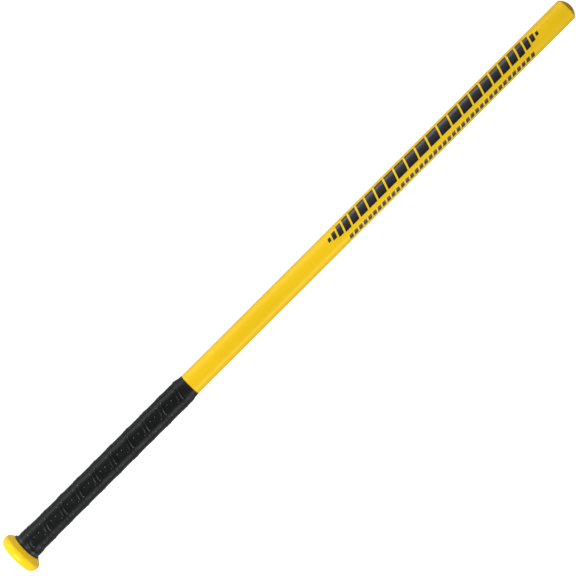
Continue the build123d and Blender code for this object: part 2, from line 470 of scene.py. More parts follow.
def dust_group():
    """Sparse specks of dust."""
    tree, start, end = new_group(
        "Dust", {"Vector": None, "Scale": 700.0, "Amount": 0.3}, ["Mask"]
    )
    cells = add_node(tree, "ShaderNodeTexVoronoi", (2, 0), feature="F1")
    speck = ramp(tree, (3, 0), 0.05, 0.16)
    turn = maths(tree, (4, 0), "SUBTRACT", {0: 1.0})
    rare = add_node(tree, "ShaderNodeTexNoise", (2, 1), {"Scale": 160.0})
    where = ramp(tree, (3, 1), 0.6, 0.7)
    wire(
        tree,
        (start, "Vector", cells, "Vector"),
        (start, "Vector", rare, "Vector"),
        (start, "Scale", cells, "Scale"),
        (cells, "Distance", speck, "Fac"),
        (speck, "Color", turn, 1),
        (rare, "Fac", where, "Fac"),
    )
    in_patches(tree, start, end, turn, where)
    return tree


def pebble_group():
    """Pebbled leather: rounded cells with creases between them."""
    tree, start, end = new_group(
        "Pebble", {"Vector": None, "Scale": 1100.0, "Wrinkle": 140.0}, ["Height", "Crease", "Fold"]
    )
    cells = add_node(
        tree, "ShaderNodeTexVoronoi", (2, 0), {"Randomness": 0.9}, feature="SMOOTH_F1"
    )
    folds = add_node(tree, "ShaderNodeTexNoise", (2, 1), {"Detail": 2.0, "Distortion": 0.8})
    along = add_node(tree, "ShaderNodeMapping", (1, 1), {"Scale": (0.5, 1.0, 1.0)})
    deep = maths(tree, (3, 1), "MULTIPLY", {1: 0.5})
    height = maths(tree, (4, 0), "SUBTRACT")
    wire(
        tree,
        (start, "Vector", cells, "Vector"),
        (start, "Vector", along, "Vector"),
        (along, "Vector", folds, "Vector"),
        (start, "Scale", cells, "Scale"),
        (start, "Wrinkle", folds, "Scale"),
        (folds, "Fac", deep, 0),
        (deep, 0, height, 0),
        (cells, "Distance", height, 1),
        (height, 0, end, "Height"),
        (cells, "Distance", end, "Crease"),
        (folds, "Fac", end, "Fold"),
    )
    return tree


GROUPS = {
    "Surface Grain": grain_group,
    "Scuffs": scuff_group,
    "Dust": dust_group,
    "Pebble": pebble_group,
}


# Places of a colour Mix node's two colours among its inputs, and of the result among its outputs.
MIX_UNDER, MIX_OVER, MIX_RESULT = 6, 7, 2


class Finish:
    """A material being made: its tree, its principled shader, and what feeds it."""

    def __init__(self, name, **values):
        self.material = bpy.data.materials.new(name)
        self.tree = empty_tree(self.material)
        self.place = add_node(self.tree, "ShaderNodeTexCoord", (0, 0))
        self.shader = add_node(self.tree, "ShaderNodeBsdfPrincipled", (8, 0), values)
        self.output = add_node(self.tree, "ShaderNodeOutputMaterial", (9, 0))
        self.bumps = []
        wire(self.tree, (self.shader, "BSDF", self.output, "Surface"))

    def group(self, name, row, coordinate="Object", **values):
        """Places a shared group in a row, fed with the piece's own coordinates."""
        made = add_node(self.tree, "ShaderNodeGroup", (2, row))
        made.node_tree = bpy.data.node_groups.get(name) or GROUPS[name]()
        for socket, value in values.items():
            made.inputs[socket].default_value = value
        wire(self.tree, (self.place, coordinate, made, "Vector"))
        return made

    def coats(self, tint, *coats):
        """Blends coats over a colour. Each has the output that masks it, and its own colour."""
        for column, (mask, coat) in enumerate(coats, 4):
            made = add_node(self.tree, "ShaderNodeMix", (column, 0), data_type="RGBA")
            self.tree.links.new(mask, made.inputs["Factor"])
            if isinstance(tint, bpy.types.NodeSocket):
                self.tree.links.new(tint, made.inputs[MIX_UNDER])
            else:
                made.inputs[MIX_UNDER].default_value = (*tint, 1)
            made.inputs[MIX_OVER].default_value = (*coat, 1)
            tint = made.outputs[MIX_RESULT]
        self.tree.links.new(tint, self.shader.inputs["Base Color"])

    def rough(self, output, low, high):
        """Roughness from low to high, as an output goes from 0 to 1."""
        made = add_node(self.tree, "ShaderNodeMapRange", (5, 2), {"To Min": low, "To Max": high})
        self.tree.links.new(output, made.inputs["Value"])
        wire(self.tree, (made, "Result", self.shader, "Roughness"))

    def bump(self, height, depth, strength):
        """Raises the surface by a height, over the bumps that it has already."""
        values = {"Distance": depth, "Strength": strength}
        made = add_node(self.tree, "ShaderNodeBump", (4 + len(self.bumps), 4), values)
        self.tree.links.new(height, made.inputs["Height"])
        for under in self.bumps[-1:]:
            wire(self.tree, (under, "Normal", made, "Normal"))
        self.bumps.append(made)
        wire(self.tree, (made, "Normal", self.shader, "Normal"))


def darker(tint, share):
    """A colour scaled towards black, or away from black by a share above 1."""
    return tuple(channel * share for channel in tint)


def paint_finish(name, tint):
    """Glossy yellow enamel with a trace of orange peel, slow tone drift and light handling marks."""
    gloss = {"Specular IOR Level": 0.35, "Specular Tint": (1, 0.85, 0.35, 1)}
    made = Finish(name, **gloss, **{"Coat Roughness": 0.12})
    grain = made.group("Surface Grain", 0, Fine=420.0, Broad=26.0)
    scuffs = made.group("Scuffs", 2, Scale=90.0, Amount=0.35)
    dust = made.group("Dust", 4, Scale=520.0, Amount=0.25)
    made.coats(
        darker(tint, 0.94),
        (grain.outputs["Drift"], tint),
        (scuffs.outputs["Mask"], darker(tint, 0.8)),
        (dust.outputs["Mask"], (0.75, 0.68, 0.5)),
    )
    made.rough(scuffs.outputs["Mask"], 0.3, 0.6)
    made.bump(grain.outputs["Height"], 0.02 * MM, 0.35)
    return made.material


def leather_finish(name, tint):
    """Black synthetic leather: pebbles, soft wrinkles, dust, and pale grey hole bottoms that are
    partly the tape's light backing and partly painted glint.
    """
    made = Finish(name, **{"Specular IOR Level": 0.17})
    pebble = made.group("Pebble", 0, "UV", Scale=900.0, Wrinkle=170.0)
    grain = made.group("Surface Grain", 2, "UV", Fine=2600.0, Broad=45.0)
    dust = made.group("Dust", 4, "UV", Scale=900.0, Amount=0.12)
    holes = add_node(made.tree, "ShaderNodeAttribute", (5, 1), attribute_name="hole_bottom")
    made.coats(
        tint,
        (pebble.outputs["Crease"], darker(tint, 2.4)),
        (grain.outputs["Drift"], darker(tint, 1.5)),
        (dust.outputs["Mask"], (0.12, 0.12, 0.115)),
        # Hole bottoms: pale grey, partly light backing and partly painted glint in place of light
        # caught in the holes.
        (holes.outputs["Fac"], (0.35, 0.35, 0.36)),
    )
    made.rough(grain.outputs["Drift"], 0.27, 0.42)
    made.bump(grain.outputs["Height"], 0.02 * MM, 0.4)
    made.bump(pebble.outputs["Fold"], 0.5 * MM, 0.6)
    made.bump(pebble.outputs["Height"], 0.12 * MM, 0.6)
    return made.material


def soft_finish(name, tint, fine, rough, depth, dust_amount=0.15, gloss=0.5):
    """Rubber, vinyl or moulded plastic: fine grain, uneven gloss and a little dust."""
    made = Finish(name, **{"Specular IOR Level": gloss})
    grain = made.group("Surface Grain", 0, Fine=fine, Broad=60.0)
    scuffs = made.group("Scuffs", 2, Scale=160.0, Amount=0.5)
    dust = made.group("Dust", 4, Scale=800.0, Amount=dust_amount)
    made.coats(
        darker(tint, 0.75),
        (grain.outputs["Drift"], darker(tint, 1.3)),
        (scuffs.outputs["Mask"], darker(tint, 2.5)),
        (dust.outputs["Mask"], (0.2, 0.2, 0.19)),
    )
    made.rough(grain.outputs["Drift"], rough - 0.08, rough + 0.1)
    made.bump(grain.outputs["Height"], depth, 0.6)
    return made.material


def film_finish(name, dark, light):
    """Black transfer film under a thin gloss, with a painted sheen: it fades from black to a slate
    band across the middle of its height.
    """
    made = Finish(name, **{"Specular IOR Level": 0.5, "Coat Roughness": 0.15, "Coat Weight": 0.2})
    height = {"From Min": BARS_LOW.y, "From Max": BARS_HIGH.y}
    split = add_node(made.tree, "ShaderNodeSeparateXYZ", (1, 0))
    across = add_node(made.tree, "ShaderNodeMapRange", (2, 0), height)
    fade = ramp(made.tree, (3, 0), 0, 1)
    for end in fade.color_ramp.elements:
        end.color = (*dark, 1)
    # The slate stop in the middle is painted sheen, where the side lights would reflect.
    fade.color_ramp.elements.new(0.55).color = (*light, 1)
    wire(
        made.tree,
        (made.place, "Object", split, "Vector"),
        (split, "Y", across, "Value"),
        (across, "Result", fade, "Fac"),
    )
    scuffs = made.group("Scuffs", 2, Scale=90.0, Amount=0.4)
    grain = made.group("Surface Grain", 4, Fine=900.0, Broad=40.0)
    made.coats(fade.outputs["Color"], (scuffs.outputs["Mask"], (0.12, 0.11, 0.09)))
    made.rough(grain.outputs["Drift"], 0.3, 0.42)
    made.bump(grain.outputs["Height"], 0.01 * MM, 0.3)
    return made.material


def metal_finish(name, tint):
    """Bare weld metal: rippled, dull aluminium with heat tone."""
    made = Finish(name, **{"Metallic": 1.0})
    grain = made.group("Surface Grain", 0, Fine=1200.0, Broad=300.0)
    made.coats(tint, (grain.outputs["Drift"], darker(tint, 0.7)))
    made.rough(grain.outputs["Height"], 0.35, 0.6)
    made.bump(grain.outputs["Drift"], 0.1 * MM, 0.6)
    return made.material


# ---- operators: the hard pieces ----


class STICK_OT_barrel(bpy.types.Operator):
    """Turns the aluminium tube, bare under the grip and painted beyond it."""

    bl_idname = "stick.barrel"
    bl_label = "Barrel tube"

    def execute(self, context):
        sizes = context.scene.stick_sizes
        bare, bore = tube_radii(sizes)
        step = sizes.edge_break
        rings = 6
        outline = [
            (TUBE_START, bore),
            (TUBE_START, bare - step),
            (TUBE_START + step, bare),
            (WRAP_START, bare),
            (TAPE_END - MM, bare),
            (TAPE_END, BARREL_RADIUS),
        ]
        for ring in range(1, rings):
            outline.append((TAPE_END + (TUBE_END - TAPE_END) * ring / rings, BARREL_RADIUS))
        outline += [
            (TUBE_END - step, BARREL_RADIUS),
            (TUBE_END, BARREL_RADIUS - step),
            (TUBE_END, bore),
        ]
        piece = turned("barrel", outline, sizes.sides)
        paint = paint_finish("yellow enamel", context.scene.stick_colours.paint)
        finished(piece, paint, ["barrel_tube"])
        return {"FINISHED"}


class STICK_OT_end_cap(bpy.types.Operator):
    """Turns the domed cap and the spigot that holds it in the tube."""

    bl_idname = "stick.end_cap"
    bl_label = "End cap"

    def execute(self, context):
        sizes = context.scene.stick_sizes
        _, bore = tube_radii(sizes)
        core = bore - sizes.spigot_wall
        hollow_end = TUBE_END + sizes.dome_wall
        centre = STICK_END - sizes.dome_radius
        shoulder_radius = CAP_RADIUS - sizes.dome_shoulder
        shoulder_x = TUBE_END + sizes.edge_break / 2
        turn = math.atan2(shoulder_radius, TUBE_END - centre)
        pole = 0.5 * sizes.edge_break / sizes.dome_radius
        outline = [
            (hollow_end, 0),
            (hollow_end, core),
            (SPIGOT_END, core),
            (SPIGOT_END, bore - sizes.edge_break),
            (SPIGOT_END + sizes.edge_break, bore),
            (TUBE_END, bore),
            (TUBE_END, CAP_RADIUS - sizes.edge_break),
            *arc(shoulder_x, shoulder_radius, sizes.dome_shoulder, math.pi / 2, turn, 8),
            *arc(centre, 0, sizes.dome_radius, turn, pole, 3 * sizes.arc_steps),
            (STICK_END, 0),
        ]
        piece = turned("domed_cap", outline, sizes.sides)
        paint = bpy.data.materials["yellow enamel"]
        finished(piece, paint, ["end_cap"])
        return {"FINISHED"}


class STICK_OT_knob(bpy.types.Operator):
    """Turns the knob: round rim, sloping shoulder, collar seat and neck."""

    bl_idname = "stick.knob"
    bl_label = "Knob"

    def execute(self, context):
        sizes = context.scene.stick_sizes
        steps = sizes.arc_steps
        bare, _ = tube_radii(sizes)
        chamfer = sizes.hole_chamfer
        corner = sizes.shoulder_corner
        angle = sizes.shoulder_angle
        top_round = sizes.shoulder_round
        round_start = corner - top_round * math.tan(angle / 2)
        foot = KNOB_RADIUS - math.tan(angle) * (COLLAR_START - corner)
        lip = 2.5 * sizes.edge_break
        crown = sizes.crown_radius
        crown_x = KNOB_END + sizes.crown_middle
        crown_centre = KNOB_RADIUS - crown
        face_x = KNOB_END + sizes.face_round
        rise = math.sqrt((crown - sizes.face_round) ** 2 - (crown_x - face_x) ** 2)
        meet = math.atan2(rise, face_x - crown_x)
        top = math.pi / 2
        outline = [
            (KNOB_END, PLUG_RADIUS + chamfer),
            *arc(face_x, crown_centre + rise, sizes.face_round, math.pi, meet, steps),
            *arc(crown_x, crown_centre, crown, meet, top, 2 * steps)[1:],
            *arc(round_start, KNOB_RADIUS - top_round, top_round, top, top - angle, steps),
            (COLLAR_START - lip, foot + lip * math.tan(angle)),
            (COLLAR_START - lip / 4, foot),
            (COLLAR_START, foot - lip),
            (COLLAR_START, sizes.seat_radius),
            (sizes.neck_foot, sizes.neck_radius),
            (NECK_END, sizes.neck_lip),
            (NECK_END, bare),
            (TUBE_START, bare),
            (TUBE_START, PLUG_RADIUS),
            (KNOB_END + chamfer, PLUG_RADIUS),
        ]
        piece = turned("knob_body", outline, sizes.sides)
        paint = paint_finish("knob enamel", context.scene.stick_colours.paint)
        finished(piece, paint, ["knob"])
        return {"FINISHED"}


class STICK_OT_knob_fittings(bpy.types.Operator):
    """Turns what goes with the knob: its soft collar, the plug in its end and the weld."""

    bl_idname = "stick.knob_fittings"
    bl_label = "Knob fittings"

    def execute(self, context):
        sizes = context.scene.stick_sizes
        colours = context.scene.stick_colours
        bare, _ = tube_radii(sizes)
        steps = sizes.arc_steps

        lip = sizes.collar_lip
        start_x = COLLAR_START + sizes.edge_break
        end_x = WRAP_START - lip
        waist = COLLAR_START + sizes.flare_width
        bend = 0.5 * MM
        bend_rise = 0.35 * MM
        tail = 0.7 * MM
        tail_drop = 0.25 * MM
        tail_start = 1.3
        fit = 0.07 * MM
        collar_outline = [
            (COLLAR_START, sizes.seat_radius),
            (start_x, COLLAR_RADIUS - 1.5 * lip),
            *arc(start_x + lip, COLLAR_RADIUS - lip, lip, math.pi, sizes.collar_flare, steps),
            (waist - bend, sizes.waist_radius + bend_rise),
            (waist, sizes.waist_radius),
            (waist + tail, sizes.waist_radius - tail_drop),
            *arc(end_x, sizes.collar_end - lip, lip, tail_start, 0, steps),
            (WRAP_START, sizes.neck_radius - fit),
            (sizes.neck_foot, sizes.neck_radius),
        ]
        collar = turned("collar", collar_outline, sizes.sides)
        rubber = soft_finish("collar rubber", colours.rubber, 700.0, 0.38, 0.03 * MM)
        finished(collar, rubber, ["knob_collar"])

        chamfer = sizes.hole_chamfer
        dish_x = PLUG_START + sizes.plug_dish
        dish_foot = 0.62 * PLUG_RADIUS
        dish_rim = 0.66 * PLUG_RADIUS
        hollow_x = PLUG_END - sizes.plug_hollow
        plug_outline = [
            (dish_x, 0),
            (dish_x, dish_foot),
            (PLUG_START, dish_rim),
            (PLUG_START, PLUG_RADIUS - chamfer),
            (PLUG_START + chamfer, PLUG_RADIUS),
            (PLUG_END - chamfer, PLUG_RADIUS),
            (PLUG_END, PLUG_RADIUS - chamfer),
            (PLUG_END, sizes.plug_core),
            (hollow_x, sizes.plug_core),
            (hollow_x, 0),
        ]
        plug = turned("plug", plug_outline, sizes.sides)
        plastic = soft_finish("plug plastic", colours.plug, 1500.0, 0.5, 0.03 * MM)
        finished(plug, plastic, ["knob_plug"])

        weld_outline = [
            (WELD_START, bare),
            (WELD_START, WELD_RADIUS),
            ((WELD_START + WELD_END) / 2, sizes.weld_crest),
            (WELD_END, bare),
        ]
        weld = turned("weld", weld_outline, sizes.sides)
        ripple_depth = 0.12

        def rippled(place):
            angle = math.atan2(place.y, place.z)
            out = math.hypot(place.y, place.z) - bare
            wave = ripple_depth * math.sin(sizes.ripples * angle)
            return round_the_stick(
                place.x, bare + out * (1 + wave * out / (WELD_RADIUS - bare)), angle
            )

        put(weld, rippled)
        finished(weld, metal_finish("weld metal", colours.weld), ["knob_weld"])
        return {"FINISHED"}


# ---- operators: the grip ----

# Length of grip tape that one turn takes up.
TAPE_ROUND = TURN * UNDERLAY_RADIUS


def tape_share(grip, across, turn):
    """Share of the grip tape's thickness at a distance across it: it thins to both edges."""
    inset = grip.pitch + grip.overlap - across
    if across < inset:
        step_change = 0.7 * noise.noise(Vector((turn * 5, 0.3, 7.1)))
        step = grip.step_share * (1 + step_change)
        thin = grip.edge_share + grip.lip_share * smoothstep(0, grip.lip, across)
        shelf = grip.band + grip.lip
        raised = thin + step * smoothstep(grip.band, shelf, across)
        return raised + (1 - thin - step) * smoothstep(shelf, grip.overlap, across)
    taper = grip.overlap - grip.band - grip.lip
    body = 1 - grip.edge_share - grip.far_share
    slow = grip.far_share * smoothstep(taper, grip.overlap, inset)
    return grip.edge_share + body * smoothstep(0, taper, inset) + slow


def tape_lift(grip, across, turn):
    """How far the turn before holds the tape off the stick, at a distance across it."""
    if across < grip.overlap:
        return grip.thickness * tape_share(grip, grip.pitch + across, turn)
    last = grip.thickness * grip.edge_share
    settled = grip.overlap + 4 * MM
    return last * (1 - smoothstep(grip.overlap, settled, across))


def stray(grip, turn):
    """How far the wound tape is from an even spiral, at a turn."""
    return grip.waver * noise.noise(Vector((turn * 3.1, 4.7, 0.2)))


def held_flat(x):
    """1 along the grip, and 0 beyond the wrap's end, where the finishing tape binds it."""
    return smoothstep(WRAP_END + 0.5 * MM, TAPE_START + MM, x)


def under_wrap(grip, x):
    """Radius that the wrap is wound on: a swell over the neck and weld, then the underlay."""
    crest = WRAP_START + 4.4 * MM
    weld_end = NECK_END + 6 * MM
    swell = smoothstep(WRAP_START, crest, x) * (1 - smoothstep(crest, NECK_END + 3 * MM, x))
    neck = 1 - smoothstep(crest, NECK_END + 2 * MM, x)
    weld = 1 - smoothstep(weld_end, weld_end + 12 * MM, x)
    return UNDERLAY_RADIUS + grip.swell * swell + grip.neck_rise * neck + grip.weld_rise * weld


def unevenness(x, angle):
    """Soft lumps of the wound tape, from -1 to 1, the same on both sides of a full turn."""
    place = Vector((x * 55, math.sin(angle) * 0.9, math.cos(angle) * 0.9))
    fine = Vector((x * 190, math.sin(angle) * 2.6, math.cos(angle) * 2.6))
    return noise.noise(place) + 0.45 * noise.noise(fine)


def wrap_top(grip, x, angle):
    """Radius of the finished wrap at a place along the stick and an angle from the top."""
    turn = math.floor((x - grip.first_seam) / grip.pitch - angle / TURN) + angle / TURN
    across = x - grip.first_seam - grip.pitch * turn
    body = grip.thickness * tape_share(grip, across, turn) + tape_lift(grip, across, turn)
    body += 0.5 * grip.lumps * unevenness(x, angle)
    return under_wrap(grip, x) + body * held_flat(x)


def row_place(grip, row):
    """Distance across the grip tape of a row of faces: rows are closer over the thin band."""
    shelf = grip.band + 1.3 * grip.lip
    width = grip.pitch + grip.overlap
    # Rows by number, and how far across the tape each one is.
    marks = ((0, 0), (2, 0.8 * grip.lip), (6, grip.band), (11, shelf), (grip.rows, width))
    for (low_row, low), (high_row, high) in zip(marks, marks[1:]):
        if row <= high_row + 0.01:
            break
    return low + (high - low) * (row - low_row) / (high_row - low_row)


def flat_tape(grip):
    """The grip tape before it is wound, cut off at both ends of the grip, and where it starts."""
    width = grip.pitch + grip.overlap
    start_turn = (WRAP_START - grip.first_seam - width) / grip.pitch
    end_turn = (WRAP_END - grip.first_seam) / grip.pitch
    columns = math.ceil((end_turn - start_turn) * grip.columns)
    start = start_turn * TAPE_ROUND
    run = columns * (TAPE_ROUND / grip.columns)
    piece = flat_strip("wrap", start, run, width, columns, grip.rows)
    put(piece, lambda at: Vector((at.x, row_place(grip, at.y / width * grip.rows), at.z)))
    in_edit_mode(piece)
    lean = (grip.pitch / TAPE_ROUND, 1, 0)
    for edge_x, side in ((WRAP_START, "clear_inner"), (WRAP_END, "clear_outer")):
        edge = (0, edge_x - grip.first_seam, 0)
        bpy.ops.mesh.select_all(action="SELECT")
        bpy.ops.mesh.bisect(plane_co=edge, plane_no=lean, **{side: True})
    thicken(grip.thickness)
    return piece, start


def hole_test(grip, start):
    """A test that picks the vertices of the flat tape where breathing holes belong."""
    column = TAPE_ROUND / grip.columns
    rows = [row_place(grip, row) for row in range(grip.rows + 1)]
    wanted = [grip.first_hole_row + n * grip.hole_row_gap for n in range(4)]
    hole_rows = [min(rows, key=lambda y, target=target: abs(y - target)) for target in wanted]
    middle_rows = (1, 2)
    margin = 2 * MM
    # Holes are counted from a column just past the top of the stick.
    first_column = round(-start / column) + 2

    def is_hole(vertex):
        place = vertex.co
        along = (place.x - start) / column
        step = round(along)
        x = grip.first_seam + place.y + grip.pitch * place.x / TAPE_ROUND
        if place.z < grip.thickness / 2 or abs(along - step) > 0.01:
            return False
        if not WRAP_START + margin < x < WRAP_END - margin:
            return False
        for number, row in enumerate(hole_rows):
            if abs(place.y - row) < 0.01 * MM:
                shift = 0 if number in middle_rows else grip.hole_step // 2
                return (step - first_column - shift) % grip.hole_step == 0
        return False

    return is_hole


def sink_holes(grip, piece):
    """Sinks a round hole at each vertex selected in edit mode, and marks the holes' bottoms."""
    bpy.ops.mesh.bevel(
        offset=grip.hole_radius, offset_pct=0, segments=2, profile=0.25, affect="VERTICES"
    )
    bpy.ops.mesh.dissolve_faces()
    bpy.ops.object.mode_set(mode="OBJECT")
    for face in piece.data.polygons:
        if face.select:
            middle = face.center.copy()
            for index in face.vertices:
                vertex = piece.data.vertices[index]
                vertex.co = middle + (vertex.co - middle).normalized() * grip.hole_radius
    bpy.ops.object.mode_set(mode="EDIT")
    bpy.ops.mesh.select_mode(type="FACE")
    bpy.ops.mesh.inset(thickness=0.12 * MM, depth=-0.06 * MM, use_individual=True)
    bpy.ops.mesh.inset(thickness=0.03 * MM, depth=-grip.hole_depth, use_individual=True)
    bpy.ops.object.mode_set(mode="OBJECT")
    bottoms = piece.data.attributes.new("hole_bottom", "FLOAT", "FACE")
    for face in piece.data.polygons:
        bottoms.data[face.index].value = float(face.select)


def wound(grip, place):
    """Where a point of the flat grip tape is once the tape is wound round the stick."""
    near_edge = 3 * MM
    turn = place.x / TAPE_ROUND
    even = grip.first_seam + grip.pitch * turn + place.y
    angle = TURN * turn
    inside = smoothstep(WRAP_START, WRAP_START + near_edge, even)
    inside *= 1 - smoothstep(WRAP_END - near_edge, WRAP_END, even)
    x = even + stray(grip, turn) * inside
    started = 0.9 + 0.1 * smoothstep(WRAP_START, WRAP_START + 1.6 * MM, x)
    share = place.z / grip.thickness
    body = share * grip.thickness * tape_share(grip, place.y, turn) * started
    body += tape_lift(grip, place.y, turn) * started
    body += (0.5 + 0.5 * share) * grip.lumps * 0.5 * unevenness(x, angle)
    return round_the_stick(x, under_wrap(grip, x) + body * held_flat(x), angle)


class STICK_OT_wrap(bpy.types.Operator):
    """Winds the grip tape: a flat strip with breathing holes, laid round the handle."""

    bl_idname = "stick.wrap"
    bl_label = "Grip wrap"

    def execute(self, context):
        grip = context.scene.grip_sizes
        piece, start = flat_tape(grip)
        in_edit_mode(piece, hole_test(grip, start))
        sink_holes(grip, piece)
        lay_uv(piece)
        put(piece, lambda place: wound(grip, place))
        face_outwards(piece)
        leather = leather_finish("grip leather", context.scene.stick_colours.leather)
        finished(piece, leather, ["grip_wrap"], smooth=40)
        return {"FINISHED"}


class STICK_OT_grip_tapes(bpy.types.Operator):
    """Lays the double-sided tape under the wrap and binds the wrap's end with thin tape."""

    bl_idname = "stick.grip_tapes"
    bl_label = "Grip tapes"

    def execute(self, context):
        sizes = context.scene.stick_sizes
        grip = context.scene.grip_sizes
        bare, _ = tube_radii(sizes)
        underlay_outline = [
            (UNDERLAY_START, bare),
            (UNDERLAY_START, UNDERLAY_RADIUS),
            (UNDERLAY_END, UNDERLAY_RADIUS),
            (UNDERLAY_END, bare),
        ]
        underlay = turned("underlay", underlay_outline, sizes.sides)
        tint = context.scene.stick_colours.underlay
        cloth = soft_finish("underlay tape", tint, 2200.0, 0.75, 0.05 * MM, 0.0)
        finished(underlay, cloth, ["grip_underlay"])

        width = TAPE_END - TAPE_START
        round_once = TURN * BARREL_RADIUS
        run = grip.tape_turns * round_once
        columns = round(grip.tape_turns * sizes.sides)
        piece = flat_strip("finish_tape", 0, run, width, columns, grip.tape_rows)
        in_edit_mode(piece)
        layer = grip.tape_thickness
        thicken(layer)
        lay_uv(piece)
        bridged = (-1.6 * MM, -0.8 * MM, 0, 0.8 * MM, 1.6 * MM)
        clear = 0.01 * MM
        glue = 0.02 * MM
        puckers = 0.07 * MM

        def bound(place):
            turn = place.x / round_once
            angle = TURN * (turn + grip.tape_start)
            x = TAPE_START + place.y
            near = [wrap_top(grip, x + shift, angle) for shift in bridged]
            bridge = max(sum(near) / len(near), wrap_top(grip, x, angle) + clear)
            floor = bare + sizes.coat * smoothstep(TAPE_END - MM, TAPE_END, x)
            pucker = abs(puckers * noise.noise(Vector((x * 60, angle * 2.2, 3.1))))
            loose = smoothstep(TAPE_START, WRAP_END, x) * (1 - smoothstep(WRAP_END, TAPE_END, x))
            radius = max(bridge, floor) + pucker * loose
            return round_the_stick(x, radius + glue + layer * turn + place.z, angle)

        put(piece, bound)
        face_outwards(piece)
        tint = context.scene.stick_colours.tape
        vinyl = soft_finish("finish vinyl", tint, 500.0, 0.42, 0.02 * MM, gloss=0.25)
        finished(piece, vinyl, ["grip_finish_tape"])
        return {"FINISHED"}


# ---- operators: the graphics ----


FILM_THICKNESS = 0.1 * MM


def film_patch(name, left, width, low, high, lean, corner):
    """A slanted patch of film on the barrel's top, rounded at its corners."""
    start_piece()
    bpy.ops.mesh.primitive_plane_add(size=1, location=(left + width / 2, (low + high) / 2, 0))
    patch = placed(name, (width, high - low, 1))
    in_edit_mode(patch)
    bpy.ops.mesh.bevel(offset=corner, offset_pct=0, segments=4, profile=0.5, affect="VERTICES")
    cut_step = 0.7 * MM
    cuts = max(3, round((high - low) / cut_step))
    for cut in range(1, cuts):
        bpy.ops.mesh.select_all(action="SELECT")
        level = low + (high - low) * cut / cuts
        bpy.ops.mesh.bisect(plane_co=(0, level, 0), plane_no=(0, 1, 0))
    thicken(FILM_THICKNESS)
    face_outwards(patch)
    middle = (low + high) / 2

    def on_barrel(place):
        angle = math.asin(place.y / BARREL_RADIUS)
        x = place.x + lean * (place.y - middle)
        return round_the_stick(x, BARREL_RADIUS + place.z, angle)

    put(patch, on_barrel)
    return patch


def joined(name, parts):
    """Joins like parts into one piece."""
    start_piece()
    for part in parts:
        part.select_set(True)
    bpy.context.view_layer.objects.active = parts[0]
    bpy.ops.object.join()
    piece = bpy.context.object
    piece.name = name
    return piece


class STICK_OT_graphics(bpy.types.Operator):
    """Cuts the barrel's film: a swelling row of slanted bars, and a row of dashes beside it."""

    bl_idname = "stick.graphics"
    bl_label = "Barrel graphics"

    bars: count("Bars", "Bars in the large row", 25)
    dashes: count("Dashes", "Dashes in the small row", 40)
    slant: tilt("Slant", "Slant of bars and dashes", 20)
    gap: length("Gap", "Gap between bars", 2.6 * MM)
    narrowest: length("Narrowest", "Least width of a bar", 3 * MM)
    full_share: amount("Full share", "Share of the row at full height", 0.76)
    end_share: amount("End share", "Height of the end bars, as a share", 0.18)
    dash_share: amount("Dash share", "Share of the row that dashes fill", 0.7)
    bar_corner: length("Bar corner", "Round at the corners of a bar", 0.5 * MM)
    dash_corner: length("Dash corner", "Round at the corners of a dash", 0.4 * MM)

    def execute(self, context):
        colours = context.scene.stick_colours
        lean = math.tan(self.slant)
        film = film_finish("transfer film", colours.film, colours.film_sheen)

        middle = (BARS_LOW.y + BARS_HIGH.y) / 2
        full = (BARS_HIGH.y - BARS_LOW.y) / 2
        taper = (1 - self.end_share) / (1 - self.full_share)
        end_lean = lean * full * (self.end_share + taper / self.bars)
        places = [(2 * n + 1) / self.bars - 1 for n in range(self.bars)]
        swells = [1 - place**2 for place in places]
        left = BARS_LOW.x + end_lean
        free = BARS_HIGH.x - BARS_LOW.x - 2 * end_lean
        free -= self.gap * (self.bars - 1) + self.narrowest * self.bars
        parts = []
        for place, swell in zip(places, swells):
            width = self.narrowest + free * swell / sum(swells)
            half = full * (1 - taper * max(0, abs(place) - self.full_share))
            low, high = middle - half, middle + half
            parts.append(film_patch("bar", left, width, low, high, lean, self.bar_corner))
            left += width + self.gap
        finished(joined("bars", parts), film, ["barrel_bars"])

        low, high = DASHES_LOW.y, DASHES_HIGH.y
        dash_lean = lean * (high - low) / 2
        span = DASHES_HIGH.x - DASHES_LOW.x - 2 * dash_lean
        pitch = span / (self.dashes - 1 + self.dash_share)
        width = self.dash_share * pitch
        parts = []
        for number in range(self.dashes):
            left = DASHES_LOW.x + dash_lean + number * pitch
            parts.append(film_patch("dash", left, width, low, high, lean, self.dash_corner))
        finished(joined("dashes", parts), film, ["barrel_dashes"])
        return {"FINISHED"}


# ---- operator: the studio ----


FLOOR_SIZE = 30
FAR_LIMIT = 50
SENSOR_WIDTH = 36
WHITE = (1, 1, 1, 1)


def grey(tone):
    """A grey of one tone, with full alpha."""
    return (tone, tone, tone, 1)


def by_ray(tree, output, lit, shown):
    """Shows one shader to the camera, and lights the scene with another."""
    path = add_node(tree, "ShaderNodeLightPath", (3, 2))
    choose = add_node(tree, "ShaderNodeMixShader", (4, 0))
    ending = add_node(tree, output, (5, 0))
    wire(
        tree,
        (path, "Is Camera Ray", choose, 0),
        (lit, 0, choose, 1),
        (shown, 0, choose, 2),
        (choose, 0, ending, "Surface"),
    )


